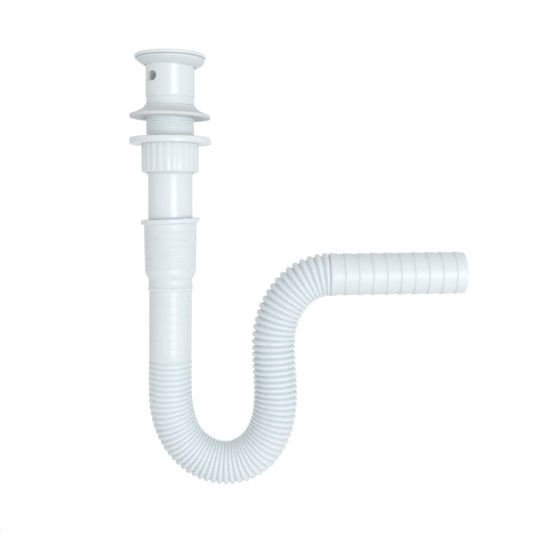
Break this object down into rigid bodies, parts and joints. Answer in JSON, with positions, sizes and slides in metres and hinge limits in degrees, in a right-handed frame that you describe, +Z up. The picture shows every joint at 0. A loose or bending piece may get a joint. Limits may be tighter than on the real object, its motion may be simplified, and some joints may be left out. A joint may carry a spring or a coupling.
{
  "type": "flexible sink trap",
  "caption": "Slotted basin waste with flange, seals and fluted backnut, joined to a white bellows hose bent into a trap with a stepped outlet spigot.",
  "frame": {"origin": "on the axis of the waste, level with the top of its rim", "axes": "+Z up the axis of the waste, +X towards the outlet, +Y to the back"},
  "size_m": [0.2916, 0.07, 0.3723],
  "materials": {
    "moulded_white": "moulded, soft gloss",
    "blown_white": "blow moulded, satin",
    "seal_white": "soft white sealing ring, matt",
    "grey_rubber": "pale grey rubber, matt"
  },
  "bodies": {
    "waste": {"waste_body": "moulded_white", "flange_gasket": "seal_white"},
    "cone_washer": {"cone_washer": "grey_rubber"},
    "flat_washer": {"flat_washer": "moulded_white"},
    "backnut": {"backnut": "moulded_white"},
    "hose": {"hose": "blown_white"}
  },
  "joints": [
    {"name": "cone_washer_slide", "type": "slide", "parent": "waste", "child": "cone_washer", "axis": [0, 0, 1], "range_m": [-0.002, 0.03]},
    {"name": "flat_washer_travel", "type": "slide", "parent": "waste", "child": "flat_washer", "axis": [0, 0, 1], "range_m": [-0.0221, 0.0126]},
    {"name": "nut_turn", "type": "hinge", "parent": "flat_washer", "child": "backnut", "pos_m": [0, 0, -0.0891], "axis": [0, 0, 1], "range_deg": [-3168, 1800]},
    {"name": "hose_swivel", "type": "hinge", "parent": "waste", "child": "hose", "pos_m": [0, 0, -0.1625], "axis": [0, 0, 1], "continuous": true}
  ],
  "couplings": [
    {"joint": "flat_washer_travel", "follows": "nut_turn", "m_per_rad": 0.00039789}
  ]
}
